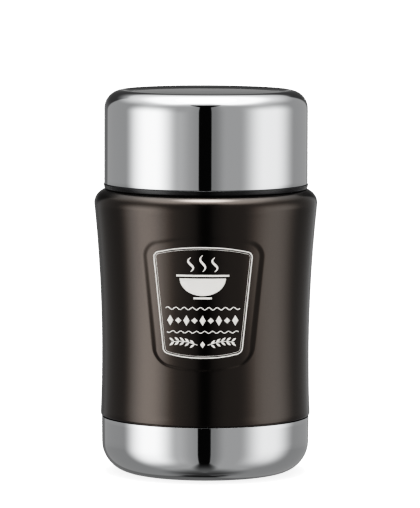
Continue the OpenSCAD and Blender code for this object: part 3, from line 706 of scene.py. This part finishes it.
# %% Spin the body's section
# runs of the spin in degrees and steps, from the right-hand side round the back to the front
TURN_RUNS = [(236.5, 79), (12.5, 40), (42, 28), (12.5, 40), (56.5, 19)]
ring = whole(body_bm)
for degrees, steps in TURN_RUNS:
    ring = spin(body_bm, ring, degrees, steps)
close_up(body_bm)
print("body faces:", len(body_bm.faces))

# %% [markdown]
# The grid is bent in two moves. Its columns fan out with the panel's slanted sides, and its rows follow the
# arched ends; both moves fade out a little way off. Then every point of the side is set back on the side's
# surface, less the panel's depth at that point.

# %% Bend the grid and press the panel
# the straight grid's lines that come to lie on the panel's border: an angle to each side, and two heights
GRID_SIDE_ANGLE, GRID_TOP_Z, GRID_LOW_Z = 31.0, 104.0, 52.0
# a move is whole up to the first distance and gone at the second: rows in mm, columns and rows in degrees
ROW_FADE, COLUMN_AROUND, ROW_AROUND = (3.0, 11.0), (36, 80), (40, 70)
# what may move: the side's outer surface, clear of the hem and the shoulder
BENT_FROM_Z, BENT_TO_Z, SURFACE_WITHIN = 26.0, SHOULDER_CENTRE[1] - 0.7, 0.02


def fade(distance, held, faded):
    """1 up to a distance, then down to 0."""
    return min(max((faded - abs(distance)) / (faded - held), 0), 1)


for vert in body_bm.verts:
    x, y, z = vert.co / MM
    radius = math.hypot(x, y)
    if not BENT_FROM_Z < z < BENT_TO_Z or abs(radius - side_radius(z)) > SURFACE_WITHIN:
        continue
    around = math.degrees(math.atan2(x, -y))
    level = min(max(z, GRID_LOW_Z), GRID_TOP_Z)
    border_angle = math.degrees(math.asin(half_width(level) / side_radius(level)))
    fan = 1 + (border_angle / GRID_SIDE_ANGLE - 1) * fade(around, *COLUMN_AROUND)
    around = math.radians(around * fan)
    x = side_radius(z) * math.sin(around)
    front = fade(math.degrees(around), *ROW_AROUND)
    z += (top_height(x) - GRID_TOP_Z) * fade(z - GRID_TOP_Z, *ROW_FADE) * front
    z += (low_height(x) - GRID_LOW_Z) * fade(z - GRID_LOW_Z, *ROW_FADE) * front
    depth = pressed_depth(x, z) if math.cos(around) > 0 else 0
    radius = side_radius(z, depth)
    vert.co = Vector((radius * math.sin(around), -radius * math.cos(around), z)) * MM

body_skin = make_piece(body_bm, "outer_shell_skin", "jar", "bronze_lacquer", "outer_shell")
sheet = body_skin.modifiers.new("sheet", "SOLIDIFY")
sheet.thickness = SHEET * MM
sheet.offset = -1
print("body sheet:", round(sheet.thickness / MM, 2), "mm")

# %% [markdown]
# ## Printed ornament
# The panel carries a light print: a double line that follows the border, and inside it a steaming
# bowl, two wavy rules, a row of diamonds and a pair of sprigs. Ink is a thin flat layer, so each shape is a
# small grid that is bent into place in the front plane. The whole print is then cut into narrow strips and laid
# on the panel, where it stands a few hundredths of a millimetre proud.

# %% Helpers for the print
INK_RISE, INK_LAYER = 0.04, 0.06
PATH_AHEAD = 0.001
ink = bmesh.new()


def ink_patch(columns, rows, place):
    """A grid of ink. place turns a point from (0 to 1, -1 to 1) into x and z in mm."""
    made = bmesh.ops.create_grid(ink, x_segments=columns, y_segments=rows, size=1)
    for vert in made["verts"]:
        x, z = place((vert.co.x + 1) / 2, vert.co.y)
        vert.co = Vector((x, 0, z)) * MM


def ink_line(columns, path, width):
    """A line of ink along a path, which gives x and z in mm for 0 to 1. The width may change along it."""
    def place(share, across):
        here, ahead = Vector(path(share)), Vector(path(share + PATH_AHEAD))
        along = (ahead - here).normalized()
        half = (width(share) if callable(width) else width) / 2 * across
        return here.x - along.y * half, here.y + along.x * half
    ink_patch(columns, 1, place)


# %% Print the border
# steps inwards from the outline: how wide each is, and if it is printed
LINE_STEPS = [(4.28, False), (0.52, True), (0.5, False), (0.15, True)]
PRINT_TOP_Z, PRINT_TOP_PEAK, PRINT_LOW_Z, PRINT_LOW_PEAK, PRINT_CORNER = 103.85, 109.5, 53.3, 48.66, 6.8
border = bmesh.new()
corners = [
    (PANEL_TOP[0], PRINT_TOP_Z, PRINT_CORNER), (0, PRINT_TOP_PEAK, PANEL_TOP_BEND),
    (-PANEL_TOP[0], PRINT_TOP_Z, PRINT_CORNER), (-PANEL_LOW[0], PRINT_LOW_Z, PRINT_CORNER),
    (0, PRINT_LOW_PEAK, PANEL_LOW_BEND), (PANEL_LOW[0], PRINT_LOW_Z, PRINT_CORNER),
]
draw_section(border, corners, True)
bmesh.ops.contextual_create(border, geom=border.edges[:])
spare = []
middle = border.faces[:]
for thickness, printed in LINE_STEPS:
    made = bmesh.ops.inset_individual(border, faces=middle, thickness=thickness * MM, use_even_offset=True)
    if not printed:
        spare += made["faces"]
bmesh.ops.delete(border, geom=spare + middle, context="FACES")
pour(border, ink)
print("border faces:", len(ink.faces))

# %% Print the motifs
BOWL_Z, BOWL_R, BOWL_DEPTH, BOWL_LINE, LEAST_BELLY = 89.5, 10.0, 7.6, 0.9, 0.004
BOWL_RIM, RIM_ABOVE, BOWL_FOOT, FOOT_BELOW = 11.4, 1.15, 4, 1.0
STEAM_ABOVE, STEAM_SWAY, STEAM_THIN, STEAM_SWELL = 2.9, 1.1, 0.3, 0.75
WAVES, DIAMOND_TIP, DIAMONDS_Z, DIAMONDS_APART = 9, 0.04, 71.2, 3.5


def bowl(share, across):
    """The bowl's belly: half an ellipse under a straight rim."""
    x = BOWL_R * (2 * share - 1)
    return x, BOWL_Z - BOWL_DEPTH * math.sqrt(max(1 - (x / BOWL_R) ** 2, LEAST_BELLY)) * (1 - across) / 2


def rule(half, z0, width, columns, rise=0.0, phase=0.0):
    """A rule across the panel, straight or wavy."""
    ink_line(columns, lambda t: (-half + 2 * half * t, z0 + rise * math.sin(2 * WAVES * math.pi * t + phase)),
             width)


def diamond(x0, z0, half_x, half_z):
    """A diamond, as a line that widens and narrows again."""
    ink_line(8, lambda t: (x0 + half_x * (2 * t - 1), z0),
             lambda t: DIAMOND_TIP + 2 * half_z * (1 - abs(2 * t - 1)))


def steam(x0, tall):
    """A curl of steam over the bowl, thick in its middle."""
    ink_line(24, lambda t: (x0 + STEAM_SWAY * math.sin(2 * math.pi * t), BOWL_Z + STEAM_ABOVE + tall * t),
             lambda t: STEAM_THIN + STEAM_SWELL * math.sin(math.pi * t))


ink_patch(40, 2, bowl)
rule(BOWL_RIM, BOWL_Z + RIM_ABOVE, BOWL_LINE, 4)
rule(BOWL_FOOT, BOWL_Z - BOWL_DEPTH - FOOT_BELOW, BOWL_LINE, 2)
for x0, tall in ((-5.2, 6.2), (0, 7.2), (5.2, 6.2)):
    steam(x0, tall)
rule(16, 76.4, 0.45, 60, rise=0.55)
for i in range(-4, 5):
    diamond(DIAMONDS_APART * i, DIAMONDS_Z, 1.35, 2.3 if i % 2 == 0 else 1.3)
rule(15.4, 66.2, 0.4, 60, rise=0.45, phase=math.pi)
print("ink faces:", len(ink.faces))

# %% Print the sprigs
SPRIG_X, SPRIG_Z, SPRIG_LONG, SPRIG_RISE, SPRIG_BEND = 2.2, 60.6, 11.5, 1.6, 0.8
LEAVES, LEAF_X, LEAF_APART, LEAF_LONG, LEAF_THIN, LEAF_SWELL = 5, 3.6, 2.2, 1.9, 0.08, 0.85
LEAF_OFF, LEAF_RISE = 0.2, 1.5


def sprig_height(share):
    """Height of a sprig's stem at a share of its length."""
    return SPRIG_Z + SPRIG_RISE * math.sin(math.pi * share * SPRIG_BEND)


def leaf(foot_x, foot_z, side, lean):
    """A leaf that points outwards from its foot, up or down."""
    ink_line(8, lambda t: (foot_x + side * LEAF_LONG * t, foot_z + lean * (LEAF_OFF + LEAF_RISE * t)),
             lambda t: LEAF_THIN + LEAF_SWELL * math.sin(math.pi * t))


for side in (-1, 1):
    ink_line(16, lambda t: (side * (SPRIG_X + SPRIG_LONG * t), sprig_height(t)), 0.35)
    for i in range(LEAVES):
        from_stem = LEAF_X + LEAF_APART * i
        for lean in (-1, 1):
            leaf(side * from_stem, sprig_height((from_stem - SPRIG_X) / SPRIG_LONG), side, lean)
diamond(0, 60.8, 1.1, 1.5)
print("ink faces:", len(ink.faces))

# %% Lay the print on the panel
STRIPS, ROWS, CUT_WITHIN = range(-24, 25), range(52, 108, 4), 1e-7
PRINT_SHIFT = -0.15


def cut_ink(point, across):
    """Cuts the print along a plane."""
    bmesh.ops.bisect_plane(ink, geom=whole(ink), plane_co=point, plane_no=across, dist=CUT_WITHIN)


for x in STRIPS:
    cut_ink((x * MM, 0, 0), (1, 0, 0))
for z in ROWS:
    cut_ink((0, 0, z * MM), (0, 0, 1))
for vert in ink.verts:
    x, z = vert.co.x / MM + PRINT_SHIFT, vert.co.z / MM
    depth = math.sqrt(side_radius(z, PANEL_DEPTH - INK_RISE) ** 2 - x * x)
    vert.co = Vector((x, -depth, z)) * MM
ink.normal_update()
bmesh.ops.reverse_faces(ink, faces=[face for face in ink.faces if face.normal.y > 0])
print_skin = make_piece(ink, "panel_print", "jar", "print_ink")
layer = print_skin.modifiers.new("ink_layer", "SOLIDIFY")
layer.thickness = INK_LAYER * MM
layer.offset = -1

# %% [markdown]
# ## Threads
# The lid and the stopper screw on with two-start threads that rise 12 mm in a turn. A ridge is its section,
# spun and lifted at once, so a helix needs no points of its own. Its crest sinks into the wall at both ends.

# %% Helper for threads
LEAD = 12.0
# a ridge's widths at the wall and at its crest, how far it bites into the wall, and its rounding, all in mm
RIDGE_ROOT, RIDGE_CREST, RIDGE_BITE, RIDGE_ROUND = 2.6, 1.6, 0.3, 0.35
# degrees over which a ridge comes up at its ends, and degrees in a step
RIDGE_FADE, RIDGE_STEP = 18.0, 3


def add_thread(bm, root, crest, zero_z, start, end):
    """Adds both ridges of a thread, from start to end in degrees, on a wall of radius root in mm."""
    out = 1 if crest > root else -1
    steps = round((end - start) / RIDGE_STEP)
    bite, sunk = root - out * RIDGE_BITE, (root - out * RIDGE_BITE / 3) * MM
    for first in (start, start + 180):
        z = zero_z + LEAD * start / 360
        corners = [(bite, -RIDGE_ROOT / 2), (crest, -RIDGE_CREST / 2),
                   (crest, RIDGE_CREST / 2), (bite, RIDGE_ROOT / 2)]
        ridge = bmesh.new()
        verts = [ridge.verts.new((r * MM, 0, (z + dz) * MM)) for r, dz in corners]
        ridge.faces.new(verts)
        bmesh.ops.bevel(ridge, geom=verts[1:3], offset=RIDGE_ROUND * MM, offset_type="OFFSET",
                        affect="VERTICES", segments=3, profile=0.5, material=-1)
        spin(ridge, whole(ridge), end - start, steps, rise=LEAD * (end - start) / 360)
        for vert in ridge.verts:
            around = math.degrees(math.atan2(vert.co.y, vert.co.x)) % 360
            full = min(1, around / RIDGE_FADE, abs(end - start - around) / RIDGE_FADE)
            radius = math.hypot(vert.co.x, vert.co.y)
            if out * (radius - sunk) > 0:
                scale = (sunk + (radius - sunk) * full) / radius
                vert.co.xy *= scale
        bmesh.ops.rotate(ridge, verts=ridge.verts, cent=(0, 0, 0),
                         matrix=Quaternion((0, 0, 1), math.radians(first)).to_matrix())
        bmesh.ops.recalc_face_normals(ridge, faces=ridge.faces)
        pour(ridge, bm)


print("lead of the threads:", LEAD, "mm")

# %% [markdown]
# ## Inner parts
# The food vessel has a throat with a ledge, where the stopper seals, and its rim is folded over the neck. The
# collar outside the neck carries the lid's thread. The stopper is a hollow plug with a flange, and its cover
# has a grip with finger flutes round a well for the vent button. A thread is given as the radius of its wall
# and of its crest, the height where it would start at 0 degrees, and the angles where it starts and ends.

# %% Turn the vessel, the collar, the lid's liner and the plug
THREADED_STEPS = 160
turned("inner_liner", "jar", "liner_steel", [
    (0, 10, 0), (40.5, 10, 12), (40.5, 110.6, 3), (33.7, 119.6, 0.8), (33.7, 121.1, 0), (36.3, 121.1, 0.4),
    (36.3, 140.1, 0), (38.5, 140.1, 0), (38.5, 138.9, 0), (39, 138.9, 0.1), (39, 140.6, 0.5), (35.8, 140.6, 0.4),
    (35.8, 121.6, 0.2), (33.2, 121.6, 0.3), (33.2, 119.6, 0.8), (40, 110.6, 2.6), (40, 10.5, 11.5), (0, 10.5, 0),
], steps=THREADED_STEPS, thread=(35.8, 34.7, 126.6, 90, 300))
turned("neck_collar", "jar", "black_plastic", [
    (38.45, 124.6, 0), (40, 124.6, 0.1), (40, 138.8, 0.5), (38.45, 138.8, 0.2),
], closed=True, steps=THREADED_STEPS, thread=(40, 41.4, 128.1, 0, 210))
turned("lid_liner", "lid", "dark_plastic", [
    (0, 164.5, 0), (41.8, 164.5, 4.7), (41.8, 127.1, 0.3), (42.45, 127.1, 0), (42.45, 129.2, 0),
    (43.35, 129.2, 0), (43.35, 127.1, 0), (44, 127.1, 0), (44, 166.7, 6.9), (0, 166.7, 0),
], steps=THREADED_STEPS, thread=(41.8, 40.4, 125.1, 150, 360))
turned("stopper_body", "stopper", "dark_plastic", [
    (3.6, 120.75, 0), (32.4, 120.75, 0.3), (32.4, 121.6, 0.2), (31.6, 121.6, 0), (31.6, 123.7, 0),
    (34.3, 123.7, 0.4), (34.3, 140.9, 0.3), (38.2, 140.9, 0.4), (38.2, 142.9, 0.3), (32.3, 142.9, 0),
    (32.3, 125.7, 0.4), (29.6, 125.7, 0.3), (29.6, 122.95, 0.3), (6.8, 122.95, 0.4), (6.8, 143.2, 0.2),
    (5.2, 143.2, 0.2), (5.2, 122.95, 0), (3.6, 122.95, 0),
], closed=True, steps=THREADED_STEPS, thread=(34.3, 35.4, 123.6, 90, 300))

# %% Turn the cover
KNOB_R, KNOB_TOP_Z = 20.0, 150.5
COVER_STEPS = 300
cover = bmesh.new()
draw_section(cover, [
    (30.4, 139.6, 0.2), (32.2, 139.6, 0.2), (32.2, 142.9, 0), (37.8, 142.9, 0), (37.8, 144.9, 0.8),
    (KNOB_R, 144.9, 1.6), (KNOB_R, KNOB_TOP_Z, 1.6), (8, KNOB_TOP_Z, 0.8), (8, 144.8, 0.3), (1.6, 144.8, 0),
    (1.6, 143.3, 0), (9.6, 143.3, 0), (9.6, 147.9, 0), (17.4, 147.9, 0), (17.4, 143.9, 0), (30.4, 143.9, 0),
], True)
divide_runs(cover, 1.0)
turn_section(cover, COVER_STEPS)
close_up(cover)
print("cover faces:", len(cover.faces))

# %% Cut the cover's flutes
FLUTES, FLUTE_R, FLUTE_CENTRE_R, KNOB_FOOT_Z = 10, 6.0, 24.6, 145.7
# what may move: the grip's outer wall and its top
FLUTED_FROM_R, FLUTED_FROM_Z, FLUTED_TO_Z = 18.2, KNOB_FOOT_Z - 0.5, KNOB_TOP_Z + 0.01
slice_angle = 360 / FLUTES
for vert in cover.verts:
    radius = math.hypot(vert.co.x, vert.co.y) / MM
    z = vert.co.z / MM
    if radius < FLUTED_FROM_R or z < FLUTED_FROM_Z or z > FLUTED_TO_Z:
        continue
    around = math.degrees(math.atan2(vert.co.y, vert.co.x))
    off = math.radians((around + slice_angle / 2) % slice_angle - slice_angle / 2)
    inner = FLUTE_R ** 2 - (FLUTE_CENTRE_R * math.sin(off)) ** 2
    wall = FLUTE_CENTRE_R * math.cos(off) - math.sqrt(inner) if inner > 0 else radius
    wall = min(radius, wall) if z >= KNOB_FOOT_Z else radius
    vert.co.xy *= wall / radius
make_piece(cover, "stopper_cover_skin", "stopper", "dark_plastic", "stopper_cover")

# %% [markdown]
# ## Seal and vent valve
# A silicone ring seals the plug on the ledge. The vent valve is a button on a steel stem that ends in a
# silicone disc under the plug's floor. The button has a shallow dish for the fingertip.

# %% Turn the seal and the valve's pieces
turned("stopper_seal", "seal_ring", "silicone", [
    (31.8, 121.7, 0), (34.2, 121.7, 0.9), (34.2, 123.6, 0.9), (31.8, 123.6, 0),
], closed=True)
turned("valve_seat", "stopper", "light_silicone", [
    (2.2, 119.8, 0.1), (5.05, 119.8, 0.3), (5.05, 120.75, 0), (3.55, 120.75, 0), (3.55, 122.95, 0),
    (5, 122.95, 0), (5, 123.9, 0.3), (2.2, 123.9, 0.1),
], closed=True, steps=64)
turned("vent_button", "vent_valve", "grey_plastic", [
    (0, 150.2, 0), (1.55, 150.2, 0), (1.55, 146.8, 0), (3.2, 146.8, 0), (3.2, 150.2, 0), (6.4, 150.2, 0),
    (6.4, 146.8, 0.1), (7.7, 146.8, 0.1), (7.7, 151.8, 0.7), (6.1, 151.8, 0.4), (4.5, 151.3, 2), (0, 151.2, 0),
], steps=96, longest=1.0)
turned("valve_stem", "vent_valve", "plain_steel", [
    (0, 117.3, 0), (1.5, 117.3, 0.4), (1.5, 150.1, 0.2), (0, 150.1, 0),
], steps=48)
turned("valve_disc", "vent_valve", "light_silicone", [
    (1.55, 118.2, 0), (5, 118.2, 0.5), (5, 119.7, 0.1), (1.55, 119.7, 0),
], closed=True, steps=64)
turned("stem_clip", "vent_valve", "plain_steel", [
    (1.525, 117.6, 0), (3.2, 117.6, 0.15), (3.2, 118.2, 0), (1.525, 118.2, 0),
], closed=True, steps=48)

# %% [markdown]
# The spring is a round wire spun and lifted through four turns, and it gets a mesh of its own. In the jar it is
# the
# one piece that gives way: when the button goes down, the coil is squashed towards the well's floor by the
# button's travel. This cell only winds it.

# %% Wind the spring
SPRING_R, WIRE_R, SPRING_TURNS = 4.8, 0.3, 4
SPRING_LOW, SPRING_RISE, WELL_FLOOR = 145.15, 4.7, 144.8
WIRE_SIDES, STEPS_A_TURN = 12, 36
coil = bmesh.new()
wire = bmesh.ops.create_circle(coil, cap_ends=True, radius=WIRE_R * MM, segments=WIRE_SIDES)
bmesh.ops.rotate(coil, verts=wire["verts"], cent=(0, 0, 0),
                 matrix=Quaternion((1, 0, 0), math.pi / 2).to_matrix())
bmesh.ops.translate(coil, verts=wire["verts"], vec=Vector((SPRING_R, 0, SPRING_LOW)) * MM)
spin(coil, whole(coil), 360 * SPRING_TURNS, STEPS_A_TURN * SPRING_TURNS, rise=SPRING_RISE)
bmesh.ops.recalc_face_normals(coil, faces=coil.faces)
spring = make_piece(coil, "vent_spring_coil", "stopper", "spring_steel", "vent_spring")
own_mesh(spring)

# %% [markdown]
# ## Pieces that keep their shape
# The bottom, the foil, the getter with its dish, the solder bead and the foam are sealed inside. Their shapes
# are right as they are, so each only gets its finish.

# %% Finish the sealed pieces
sealed = {row["node"]: row["material_slot"] for row in frame["record"]["subparts"]}
SEALED_PIECES = (
    "shell_bottom", "heat_shield_foil", "getter_holder", "getter", "vacuum_seal_bead", "stopper_foam",
)
for name in SEALED_PIECES:
    for place in frame["nodes"][name].material_slots:
        place.material = finishes[sealed[name]]
    print(name, "is finished in", sealed[name])
